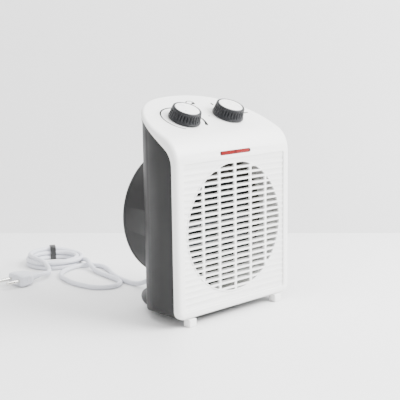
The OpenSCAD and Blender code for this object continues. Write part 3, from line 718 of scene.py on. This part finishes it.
def shell_solid(outer, inner):
    """Closed shell from rings of its outer and inner skin, each running from the open edge to the face."""
    count = len(outer[0])
    half = (count + 1) // 2
    points, faces = loft(outer)
    start = len(points)
    inner_points, inner_faces = loft(inner)
    points += inner_points
    faces += [tuple(start + i for i in face) for face in inner_faces]
    for j in range(count):
        k = (j + 1) % count
        faces.append((j, k, start + k, start + j))
    for base in ((len(outer) - 1) * count, start + (len(inner) - 1) * count):
        for j in range(half - 1):
            right, left = (base + j, base + j + 1), (base + count - 1 - j, base + count - 2 - j)
            faces.append((*right, *left[::-1]) if right[1] != left[1] else (*right, left[0]))
    return mesh_of(points, faces)


def rounded_prism(half_x, span_z, corner, y0, y1, taper=0.0):
    """Block with round corners seen from the front; it widens by taper towards y0."""
    loops = []
    for y, grow in ((y0, taper), (y1, 0)):
        loop = []
        for side, top, first in ((1, 0, -90), (1, 1, 0), (-1, 1, 90), (-1, 0, 180)):
            centre = (side * (half_x - corner), span_z[1] - corner if top else span_z[0] + corner)
            loop += [(x, y, z) for x, z in arc(centre, corner + grow, first, first + 90, 6)]
        loops.append(loop)
    points, faces = loft(loops, cap_ends=True)
    return mesh_of(points, faces)


def slot_cutter(half_x, middle, y0, y1, half_z):
    """Long slot with round ends; half_x reaches to the middle of each end."""
    return rounded_prism(half_x + half_z, (middle - half_z, middle + half_z), half_z * 0.999, y0, y1)


def row_z(row):
    """Height of the middle of one row of slots."""
    return ROW_LO + PITCH * row


def make_front_shell():
    """Rounded D-shaped shell with a recessed ribbed field, the outlet's hole and the lens's slot."""
    steps = 8
    outer = [full_loop(half_loop(0, parting()))]
    for i in range(steps + 1):
        turn = math.pi / 2 * i / steps
        face_in = EDGE_R * (1 - math.sin(turn))
        outer.append(full_loop(half_loop(EDGE_R * (1 - math.cos(turn)),
                                         profile(face_in + FACE_IN, face_in, BROW_R - face_in))))
    thick = 2 * WALL
    inner = [full_loop(half_loop(WALL, parting())),
             full_loop(half_loop(WALL, profile(thick, WALL, BROW_R - thick)))]
    shell = add("front_shell_visual", shell_solid(outer, inner), WHITE)
    cut(shell, rounded_prism(FIELD_X, FIELD_Z, FIELD_R, FRONT_Y - FIELD_D, FIELD_Y, taper=MM))
    cut(shell, rod(0, OUTLET_Z, INSERT_R + INSERT_GAP, FRONT_Y - 10 * MM, FRONT_Y + 10 * MM, 128))
    grooves = [((-FIELD_X, FIELD_Y - MM, row_z(row) - SLOT_H / 2),
                (FIELD_X, FIELD_Y + GROOVE_D, row_z(row) + SLOT_H / 2)) for row in ROWS]
    cut(shell, box_parts(grooves))
    cut(shell, slot_cutter(LENS_HALF, LENS_Z, FRONT_Y - 5 * MM, FRONT_Y + 9 * MM, LENS_SLOT_R))
    soften(shell, 0.3 * MM, 2)
    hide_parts("front_shell")


# ---------- rear shell, intake grille, base ----------

def plan_outline(side_in):
    """Seen from above: the shell's outline behind the front face."""
    half = [(HALF_W - side_in, FRONT_Y + 5 * MM)] + [plan_arc(side_in, turn) for turn in rear_turns()]
    half[-1] = (0, half[-1][1])
    return half + [(-x, y) for x, y in half[-2::-1]]


def parting_outline(out):
    """Seen from the side: everything below and behind the parting line."""
    below, long_steps = -20 * MM, 20
    points = [(TIGHT_AT[0] - TIGHT_R - out, below)] + arc(TIGHT_AT, TIGHT_R + out, 180, 126, 18)
    for i in range(1, long_steps + 1):
        turn = PART_TURN - math.radians(i)
        points.append((LONG_AT[0] + (LONG_R + out) * math.cos(turn),
                       LONG_AT[1] + (LONG_R + out) * math.sin(turn)))
    return points + [(points[-1][0], below)]


def front_outline(side_in, low_in):
    """Seen from the front: straight sides with round lower corners."""
    half = []
    for i in range(11):
        turn = math.radians(-90 + 9 * i)
        half.append((HALF_W - FOOT_R + (FOOT_R - side_in) * math.cos(turn),
                     SHELL_Z + FOOT_R + (FOOT_R - low_in) * math.sin(turn)))
    half.append((HALF_W - side_in, TALLER))
    return half + [(-x, z) for x, z in half[::-1]]


def make_rear_shell():
    """Dark shell: a slightly raised strip along the parting line, the drum's opening and four screw wells."""
    strip_in = 0.3 * MM
    shell = add("rear_shell_visual", prism(plan_outline(REAR_IN), 2, 0, TALL), DARK)
    cut(shell, prism(parting_outline(-PART_GAP), 0, -WIDE, WIDE), "INTERSECT")
    cut(shell, prism(front_outline(REAR_IN, PART_GAP), 1, -WIDE, WIDE), "INTERSECT")
    strip = add("strip", prism(plan_outline(strip_in), 2, 0, TALL), DARK)
    cut(strip, prism(parting_outline(-PART_GAP), 0, -WIDE, WIDE), "INTERSECT")
    cut(strip, prism(parting_outline(-PART_GAP - LIP_W), 0, -TALL, TALL))
    cut(strip, prism(front_outline(strip_in, strip_in), 1, -WIDE, WIDE), "INTERSECT")
    unite(shell, strip)
    cut(shell, rod(0, DRUM_Z, DRUM_R, 0, DRUM_Y, 128), "UNION")
    cut(shell, prism(plan_outline(REAR_IN + REAR_WALL), 2, SHELL_Z + FLOOR, TALLER))
    for x, z in POSTS:
        post = add("post", rod(x, z, POST_R, POST_Y, DRUM_Y, 32), DARK)
        # kept inside the wall, so that no face of the post lies in the shell's surface
        cut(post, prism(plan_outline(REAR_IN + 1.2 * MM), 2, 0, TALL), "INTERSECT")
        unite(shell, post)
        cut(shell, rod(x, z, WELL_R, POST_Y + WELL_FLOOR, BACK_Y, 32))
        cut(shell, rod(x, z, SCREW_R, POST_Y - MM, BACK_Y, 24))
    cut(shell, rod(0, DRUM_Z, DRUM_R - 2.2 * MM, 5 * MM, BACK_Y, 128))
    cut(shell, rod(0, EXIT_Z, 4.5 * MM, 40 * MM, 60 * MM, 32))
    soften(shell, 0.35 * MM, 2)
    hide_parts("rear_shell")


def make_rear_grille():
    """Round cover: deep rim with a soft back edge, eight rings on twelve spokes and a domed middle."""
    depth = BACK_Y - DRUM_Y
    place = facing_y(0, DRUM_Y, DRUM_Z)
    soft, front = 0.6 * MM, depth - 4 * MM
    rings, first_r, pitch, ring_w = 8, 17, 7, 2.5 * MM
    spokes, spoke_start, spoke_end, spoke_half = 12, 10 * MM, 75.5 * MM, 1.5 * MM
    # the dome's radius and how far it lies in front of the rim's back
    dome = [(0, 4), (11.4, 4), (12, 3.4), (12, 1.6), (11.4, 0.9), (9, 0.4), (5, 0.1), (0, 0)]
    parts = [turned(section(DRUM_R - 5.5 * MM, DRUM_R, 0, depth, soft, 3 * MM), 128, place),
             turned(section(DRUM_R - 4.6 * MM, DRUM_R - 2.4 * MM, -5 * MM, MM, soft), 96, place)]
    for i in range(rings):
        r = (first_r + pitch * i) * MM
        parts.append(turned(section(r, r + ring_w, front, depth - MM, 0.7 * MM), 96, place))
    parts.append(turned([(r * MM, depth - down * MM) for r, down in dome], 64, place, closed=False))
    for i in range(spokes):
        spoke = box_parts([((spoke_start, -spoke_half, front), (spoke_end, spoke_half, depth - 0.3 * MM))])
        spoke.transform(place @ Matrix.Rotation(math.radians(360 / spokes * i), 4, "Z"))
        parts.append(spoke)
    grille = add("rear_grille_visual", joined(*parts), DARK)
    soften(grille, 0.5 * MM, 2, 50)
    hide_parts("rear_grille")


BASE_Y = -6 * MM
BASE_R = 81.2 * MM
BASE_CORNER_R = 15 * MM
BASE_CORNER_Y = BACK_Y - 0.1 * MM - BASE_CORNER_R
BASE_CORNER_X = math.sqrt((BASE_R - BASE_CORNER_R) ** 2 - (BASE_CORNER_Y - BASE_Y) ** 2)
BASE_FRONT = -42 * MM
PADS = [(-52 * MM, 27 * MM), (52 * MM, 27 * MM)]
BASE_SCREWS = [(x * MM, y * MM) for x, y in ((-62, -12), (62, -12), (-32, 30), (32, 30))]


def base_ring(z, inset):
    """Outline of the base at one height: a round tail flattened at the back and cut straight at the front."""
    radius = BASE_R - inset
    first = math.asin((BASE_FRONT - BASE_Y) / radius)
    corner = math.atan2(BASE_CORNER_Y - BASE_Y, BASE_CORNER_X)
    tail_steps, corner_steps = 40, 10
    half = []
    for i in range(tail_steps + 1):
        turn = first + (corner - first) * i / tail_steps
        half.append((radius * math.cos(turn), BASE_Y + radius * math.sin(turn), z))
    for i in range(1, corner_steps + 1):
        turn = corner + (math.pi / 2 - corner) * i / corner_steps
        half.append((BASE_CORNER_X + (BASE_CORNER_R - inset) * math.cos(turn),
                     BASE_CORNER_Y + (BASE_CORNER_R - inset) * math.sin(turn), z))
    return half + [(-x, y, z) for x, y, z in half[::-1]]


def make_base():
    """Plate under the rear shell that flares out behind it as a low rounded tail, on two legs."""
    # height and how far the outline is drawn in there
    stops = [(8.0, 12), (8.3, 9.4), (9.0, 6), (9.6, 4.3), (10.5, 2.5), (11.6, 1.2), (13, 0.4), (14.2, 0.1),
             (15.5, 0), (17, 0.4), (18.5, 1.2), (19.8, 2.4), (21, 4), (21.8, 5.6), (22.3, 7.2), (22.5, 8.4)]
    leg = [(0, 2), (9.4, 2), (10, 2.6), (10, 9), (0, 9)]
    pad_recess = [(0, -1), (8.1, -1), (8.1, 4), (0, 4)]
    boss = [(0, 5.5), (5, 5.5), (5, 9), (0, 9)]
    screw_well = [(0, 0), (3.2, 0), (3.2, 7.4), (1.8, 7.4), (1.8, 12), (0, 12)]
    points, faces = loft([base_ring(z * MM, inset * MM) for z, inset in stops], cap_ends=True)
    base = add("base_visual", mesh_of(points, faces), DARK)
    cut(base, prism(plan_outline(REAR_IN - PART_GAP), 2, SHELL_Z - PART_GAP, 0.1))
    for places, solid, hollow, steps in ((PADS, leg, pad_recess, 48), (BASE_SCREWS, boss, screw_well, 32)):
        for x, y in places:
            place = Matrix.Translation((x, y, 0))
            cut(base, spun(solid, steps, place), "UNION")
            cut(base, spun(hollow, steps, place))
    cut(base, rod(0, EXIT_Z, 6.2 * MM, 30 * MM, 70 * MM, 48))
    soften(base, 0.3 * MM, 2)
    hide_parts("base_plinth")


# ---------- outlet grille ----------

def slot_outline(x0, x1, z0, z1):
    """Outline of one slot, cut off by the outlet's circle; nothing where too little is left."""
    levels, least = 7, 1.2 * MM
    left, right = [], []
    for i in range(levels):
        z = z0 + (z1 - z0) * i / (levels - 1)
        reach = math.sqrt(max(0, OUTLET_R ** 2 - z ** 2))
        a, b = max(x0, -reach), min(x1, reach)
        if b - a > least:
            left.append((a, z))
            right.append((b, z))
    if len(left) < 3:
        return []
    for edge, shave in ((left, 0.5 * MM), (right, -0.5 * MM)):
        for end, beside in ((0, 1), (-1, -2)):
            if edge[end][0] == edge[beside][0]:
                edge[end] = (edge[end][0] + shave, edge[end][1])
    return right + left[::-1]


def slotted_face(depth, round_off):
    """Disc with rows of slots between five upright bars, its edges rounded by the curve's bevel."""
    curve = bpy.data.curves.new("slotted", "CURVE")
    curve.dimensions = "2D"
    curve.fill_mode = "BOTH"
    curve.extrude = depth / 2 - round_off
    curve.bevel_depth = round_off
    curve.bevel_resolution = 2
    curve.offset = -round_off
    turns = [math.tau * i / 160 for i in range(160)]
    outlines = [[(INSERT_R * math.cos(turn), INSERT_R * math.sin(turn)) for turn in turns]]
    uprights = [-OUTLET_R - BAR_W] + [BAR_X * i for i in range(-2, 3)] + [OUTLET_R + BAR_W]
    for row in ROWS:
        middle = row_z(row) - OUTLET_Z
        for a, b in zip(uprights, uprights[1:]):
            outline = slot_outline(a + BAR_W / 2, b - BAR_W / 2, middle - SLOT_H / 2,
                                   middle + SLOT_H / 2)
            if outline:
                outlines.append(outline)
    for outline in outlines:
        spline = curve.splines.new("POLY")
        spline.points.add(len(outline) - 1)
        spline.use_cyclic_u = True
        for point, (x, z) in zip(spline.points, outline):
            point.co = (x, z, 0, 1)
    shape = linked("slotted", curve)
    graph = bpy.context.evaluated_depsgraph_get()
    mesh = bpy.data.meshes.new_from_object(shape.evaluated_get(graph))
    bpy.data.objects.remove(shape)
    middle = Matrix.Translation((0, FIELD_Y + depth / 2, OUTLET_Z))
    mesh.transform(middle @ Matrix.Rotation(math.pi / 2, 4, "X"))
    mesh.materials.clear()
    return mesh


def make_front_grille():
    """Round insert: a slotted face, deep louvre blades behind it and the flange that holds it."""
    face_d, round_off, flange_r = 2.5 * MM, 0.3 * MM, 81 * MM
    # the blades begin inside the face and are a little thinner than its bars
    blade_start, ease, shortest = 1.2 * MM, 0.05 * MM, 4 * MM
    face = slotted_face(face_d, round_off)
    boxes = []
    for row in ROWS:
        low = row_z(row) - OUTLET_Z + SLOT_H / 2 + ease
        high = low + PITCH - SLOT_H - 2 * ease
        far = max(abs(low), abs(high))
        if far < BLADE_R - shortest:
            reach = math.sqrt(BLADE_R ** 2 - far ** 2)
            boxes.append(((-reach, FIELD_Y + blade_start, OUTLET_Z + low),
                          (reach, FIELD_Y + BLADE_D, OUTLET_Z + high)))
    flange = turned(section(OUTLET_R + 1.2 * MM, flange_r, 2.05 * MM, 4 * MM, round_off), 128,
                    facing_y(0, FIELD_Y, OUTLET_Z))
    grille = add("front_grille_visual", joined(face, box_parts(boxes), flange), WHITE, smooth=40)
    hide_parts("front_grille")


# ---------- lens, feet ----------

def make_lens():
    """Red capsule set back in its slot, with a flat flange behind the face."""
    front, back = FRONT_Y + 1.9 * MM, FRONT_Y + 5.1 * MM
    round_off = 0.6 * MM
    flange_x, flange_z, flange_d = 26 * MM, (189 * MM, 196 * MM), 1.5 * MM
    rings = []
    for y, inset in ((back, 0), (front + round_off, 0), (front + round_off * 0.3, round_off * 0.3),
                     (front, round_off)):
        ring = []
        for side, first in ((1, -90), (-1, 90)):
            end = arc((side * LENS_HALF, LENS_Z), LENS_R - inset, first, first + 180, 12)
            ring += [(x, y, z) for x, z in end]
        rings.append(ring)
    points, faces = loft(rings, cap_ends=True)
    flange = box_parts([((-flange_x, back, flange_z[0]), (flange_x, back + flange_d, flange_z[1]))])
    lens = add("pilot_lens_visual", joined(mesh_of(points, faces), flange), RED)
    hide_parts("pilot_lens")


def make_feet():
    """Two small square feet under the front shell."""
    foot_x, half_w = 71.5 * MM, 5.5 * MM
    for side, name in ((-1, "left"), (1, "right")):
        middle = side * foot_x
        block = box_parts([((middle - half_w, FRONT_Y + 0.5 * MM, 0),
                            (middle + half_w, FRONT_Y + 11 * MM, SHELL_Z - 0.05 * MM))])
        foot = add("front_foot_" + name, block, WHITE)
        soften(foot, 1.2 * MM, 4)
        if side == 1:
            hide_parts("front_feet")


# ---------- dials ----------

def make_knob(name, x, body, node):
    """Fluted cone with a plain skirt and a smooth rim round the cap."""
    flutes, per_flute, flute_d = 30, 10, 1.3 * MM
    foot, base_r, bore_r, hollow_r = 0.8 * MM, KNOB_R - 0.6 * MM, 3.05 * MM, KNOB_TOP_R - 2 * MM
    # the skirt's height over the foot and how far it is drawn in; rows are height, radius, depth of flutes
    skirt = [(0, 0.5), (0.2, 0.15), (0.6, 0), (1.7, 0), (2.1, 0.15), (2.3, 0.5)]
    rows = [(foot + up * MM, KNOB_R - inset * MM, 0) for up, inset in skirt]
    base, crown = foot + 2.6 * MM, KNOB_H - 1.8 * MM
    climb = 12
    for i in range(climb + 1):
        t = i / climb
        depth = flute_d * min(1, t * 5, (1 - t) * 4)
        rows.append((base + (crown - base) * t, base_r + (KNOB_TOP_R - base_r) * t, depth))
    rim, rim_steps = 1.6 * MM, 5
    for i in range(1, rim_steps + 1):
        turn = math.radians(90 * i / rim_steps)
        rows.append((crown + rim * math.sin(turn), KNOB_TOP_R - rim * (1 - math.cos(turn)), 0))
    inner, cap_seat = CAP_R + 0.25 * MM, KNOB_H - 1.5 * MM
    rows += [(KNOB_H - 0.25 * MM, inner + 0.25 * MM, 0), (KNOB_H - 0.45 * MM, inner, 0),
             (cap_seat, inner, 0), (cap_seat, bore_r, 0), (foot + 8 * MM, bore_r, 0),
             (foot + 7.2 * MM, hollow_r, 0), (foot, hollow_r, 0)]
    steps = flutes * per_flute
    points = []
    for i in range(steps):
        turn = math.tau * i / steps
        wave = (0.5 - 0.5 * math.cos(turn * flutes)) ** 2
        points += [((r - deep * wave) * math.cos(turn), (r - deep * wave) * math.sin(turn), h)
                   for h, r, deep in rows]
    mesh = mesh_of(points, wheel_faces(steps, len(rows), len(rows)))
    mesh.transform(on_top(x))
    knob = add(name + "_knob_visual", mesh, KNOB, body)
    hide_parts(node + "_knob")


def make_cap(name, x, body, node, dot=None):
    """White disc with a soft edge, just below the knob's rim, with a small round index mark where dot is."""
    top, bottom, edge = KNOB_H - 0.3 * MM, KNOB_H - 1.5 * MM, 0.4 * MM
    rows = [(0, bottom), (CAP_R, bottom), (CAP_R, top - edge)]
    rows += arc((CAP_R - edge, top - edge), edge, 0, 90, 5)[1:]
    rows += [(CAP_R - 3 * MM, top - 0.02 * MM), (CAP_R / 2, top - 0.08 * MM), (0, top - 0.1 * MM)]
    cap = add(name + "_cap_visual", turned(rows, 96, on_top(x), closed=False), CAP, body)
    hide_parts(node + "_cap")
    if dot:
        place = on_top(x) @ Matrix.Translation((dot[0] * MM, dot[1] * MM, top - 0.14 * MM))
        button = spun([(0, 0.08), (0.75, 0.08), (0.9, 0.02), (0.9, -0.3), (0, -0.3)], 24, place)
        index = add(name + "_cap_dot", button, INK, body)


# ---------- printed marks on the sloping top ----------

INK_Z = 0.06 * MM


def ring_mark(x, angles, radii, widths, steps):
    """Flat printed arc round a dial; its radius and width change evenly between the two ends."""
    points, faces = [], []
    for i in range(steps + 1):
        t = i / steps
        turn = math.radians(angles[0] + (angles[1] - angles[0]) * t)
        middle = radii[0] + (radii[1] - radii[0]) * t
        half = (widths[0] + (widths[1] - widths[0]) * t) / 2
        for r in (middle - half, middle + half):
            points.append((r * math.cos(turn), r * math.sin(turn), INK_Z))
        if i:
            a = 2 * i
            faces.append((a - 2, a - 1, a + 1, a))
    mesh = mesh_of(points, faces)
    mesh.transform(on_top(x))
    return mesh


def oval_mark(x, at, half_x, half_y, line=0.0):
    """Flat printed oval, or the outline of one when line is given."""
    steps = 32
    points = []
    for inset in (0, line) if line else (0,):
        for i in range(steps):
            turn = math.tau * i / steps
            points.append((at[0] + (half_x - inset) * math.cos(turn),
                           at[1] + (half_y - inset) * math.sin(turn), INK_Z))
    if line:
        faces = [(i, (i + 1) % steps, steps + (i + 1) % steps, steps + i) for i in range(steps)]
    else:
        faces = [tuple(range(steps))]
    mesh = mesh_of(points, faces)
    mesh.transform(on_top(x))
    return mesh


def dash_mark(x, angle, r0, r1, width):
    """Flat printed line pointing away from a dial."""
    turn = math.radians(angle)
    out = Vector((math.cos(turn), math.sin(turn)))
    across = Vector((-math.sin(turn), math.cos(turn)))
    corners = [out * r0 - across * width / 2, out * r1 - across * width / 2,
               out * r1 + across * width / 2, out * r0 + across * width / 2]
    mesh = mesh_of([(c.x, c.y, INK_Z) for c in corners], [(0, 1, 2, 3)])
    mesh.transform(on_top(x))
    return mesh


def make_marks():
    """Two arcs and a ringed oval by the thermostat's dial, and three dashes round the selector's."""
    ink_d = 0.05 * MM
    # angle, inner and outer radius, width
    dashes = [(5, 31, 39, 2), (86, 28.5, 34, 2.6), (172, 26, 29, 1.1)]
    left = [ring_mark(-KNOB_X, (236, 60), (23.5 * MM, 31.5 * MM), (1.5 * MM, 2.2 * MM), 60),
            ring_mark(-KNOB_X, (12, -36), (28.5 * MM, 27.3 * MM), (1.8 * MM, 4 * MM), 30),
            oval_mark(-KNOB_X, (43 * MM, 39 * MM), 6.2 * MM, 4.6 * MM, 1.2 * MM),
            oval_mark(-KNOB_X, (46.2 * MM, 36.6 * MM), 2.6 * MM, 2.2 * MM)]
    right = [dash_mark(KNOB_X, angle, r0 * MM, r1 * MM, width * MM) for angle, r0, r1, width in dashes]
    for name, marks in (("thermostat_marks", left), ("selector_marks", right)):
        marking = add(name, joined(*marks), INK)
        thick = marking.modifiers.new("thick", "SOLIDIFY")
        thick.thickness = ink_d
        thick.offset = -1
        baked(marking)


make_front_shell()
make_rear_shell()
make_rear_grille()
make_base()
make_front_grille()
make_lens()
make_feet()
make_knob("thermostat", -KNOB_X, "thermostat_dial", "thermostat")
make_knob("selector", KNOB_X, "selector_dial", "switch")
make_cap("thermostat", -KNOB_X, "thermostat_dial", "thermostat", (-6.2, -4.8))
make_cap("selector", KNOB_X, "selector_dial", "switch")
make_marks()


# ---------- table, wall and light ----------

def plane(name, corners, material):
    """Flat sheet through four corners."""
    mesh = mesh_of(corners, [(0, 1, 2, 3)])
    mesh.materials.append(material)
    return linked(name, mesh)


def make_stage():
    """Table top, and a wall whose foot runs through two places on it."""
    table_look = surface("table_paint", (0.80, 0.80, 0.80), 0.5, tint=0.01, tint_size=0.2, grain=0.00005)
    wall_look = surface("wall_paint", (0.80, 0.80, 0.80), 0.8, tint=0.01, tint_size=0.3, grain=0.0001)
    left, right = Vector((0.134, 0.471, 0)), Vector((0.433, 0.146, 0))
    middle, along = (left + right) / 2, (right - left).normalized()
    reach = 2.5
    ground = [(-reach, -reach, 0), (reach, -reach, 0), (reach, reach, 0), (-reach, reach, 0)]
    foot = [middle - along * reach, middle + along * reach]
    rise = Vector((0, 0, reach))
    upright = [foot[0], foot[1], foot[1] + rise, foot[0] + rise]
    for thing in (plane("table", ground, table_look), plane("wall", upright, wall_look)):
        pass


def add_light(name, place, target, size, power):
    """Square panel that looks at the target."""
    data = bpy.data.lights.new(name, "AREA")
    data.energy = power
    data.size = size
    lamp = linked(name, data)
    place, target = Vector(place), Vector(target)
    lamp.location = place
    lamp.rotation_euler = (target - place).to_track_quat("-Z", "Y").to_euler()


def make_lights():
    """Broad key from the front right, weak fill from the left, a panel above and a white world."""
    middle = (0, 0, 0.12)
    add_light("key", (0.9, -1.5, 1.5), middle, 1.4, 190)
    add_light("fill", (-1.6, -0.6, 0.9), middle, 1.6, 20)
    add_light("top", (0, 0.1, 2.0), middle, 1.8, 36)
    world = bpy.data.worlds.new("world")
    bpy.context.scene.world = world
    world.use_nodes = True
    world.node_tree.nodes["Background"].inputs["Color"].default_value = (1, 1, 1, 1)
    world.node_tree.nodes["Background"].inputs["Strength"].default_value = 1.0


make_stage()
make_lights()
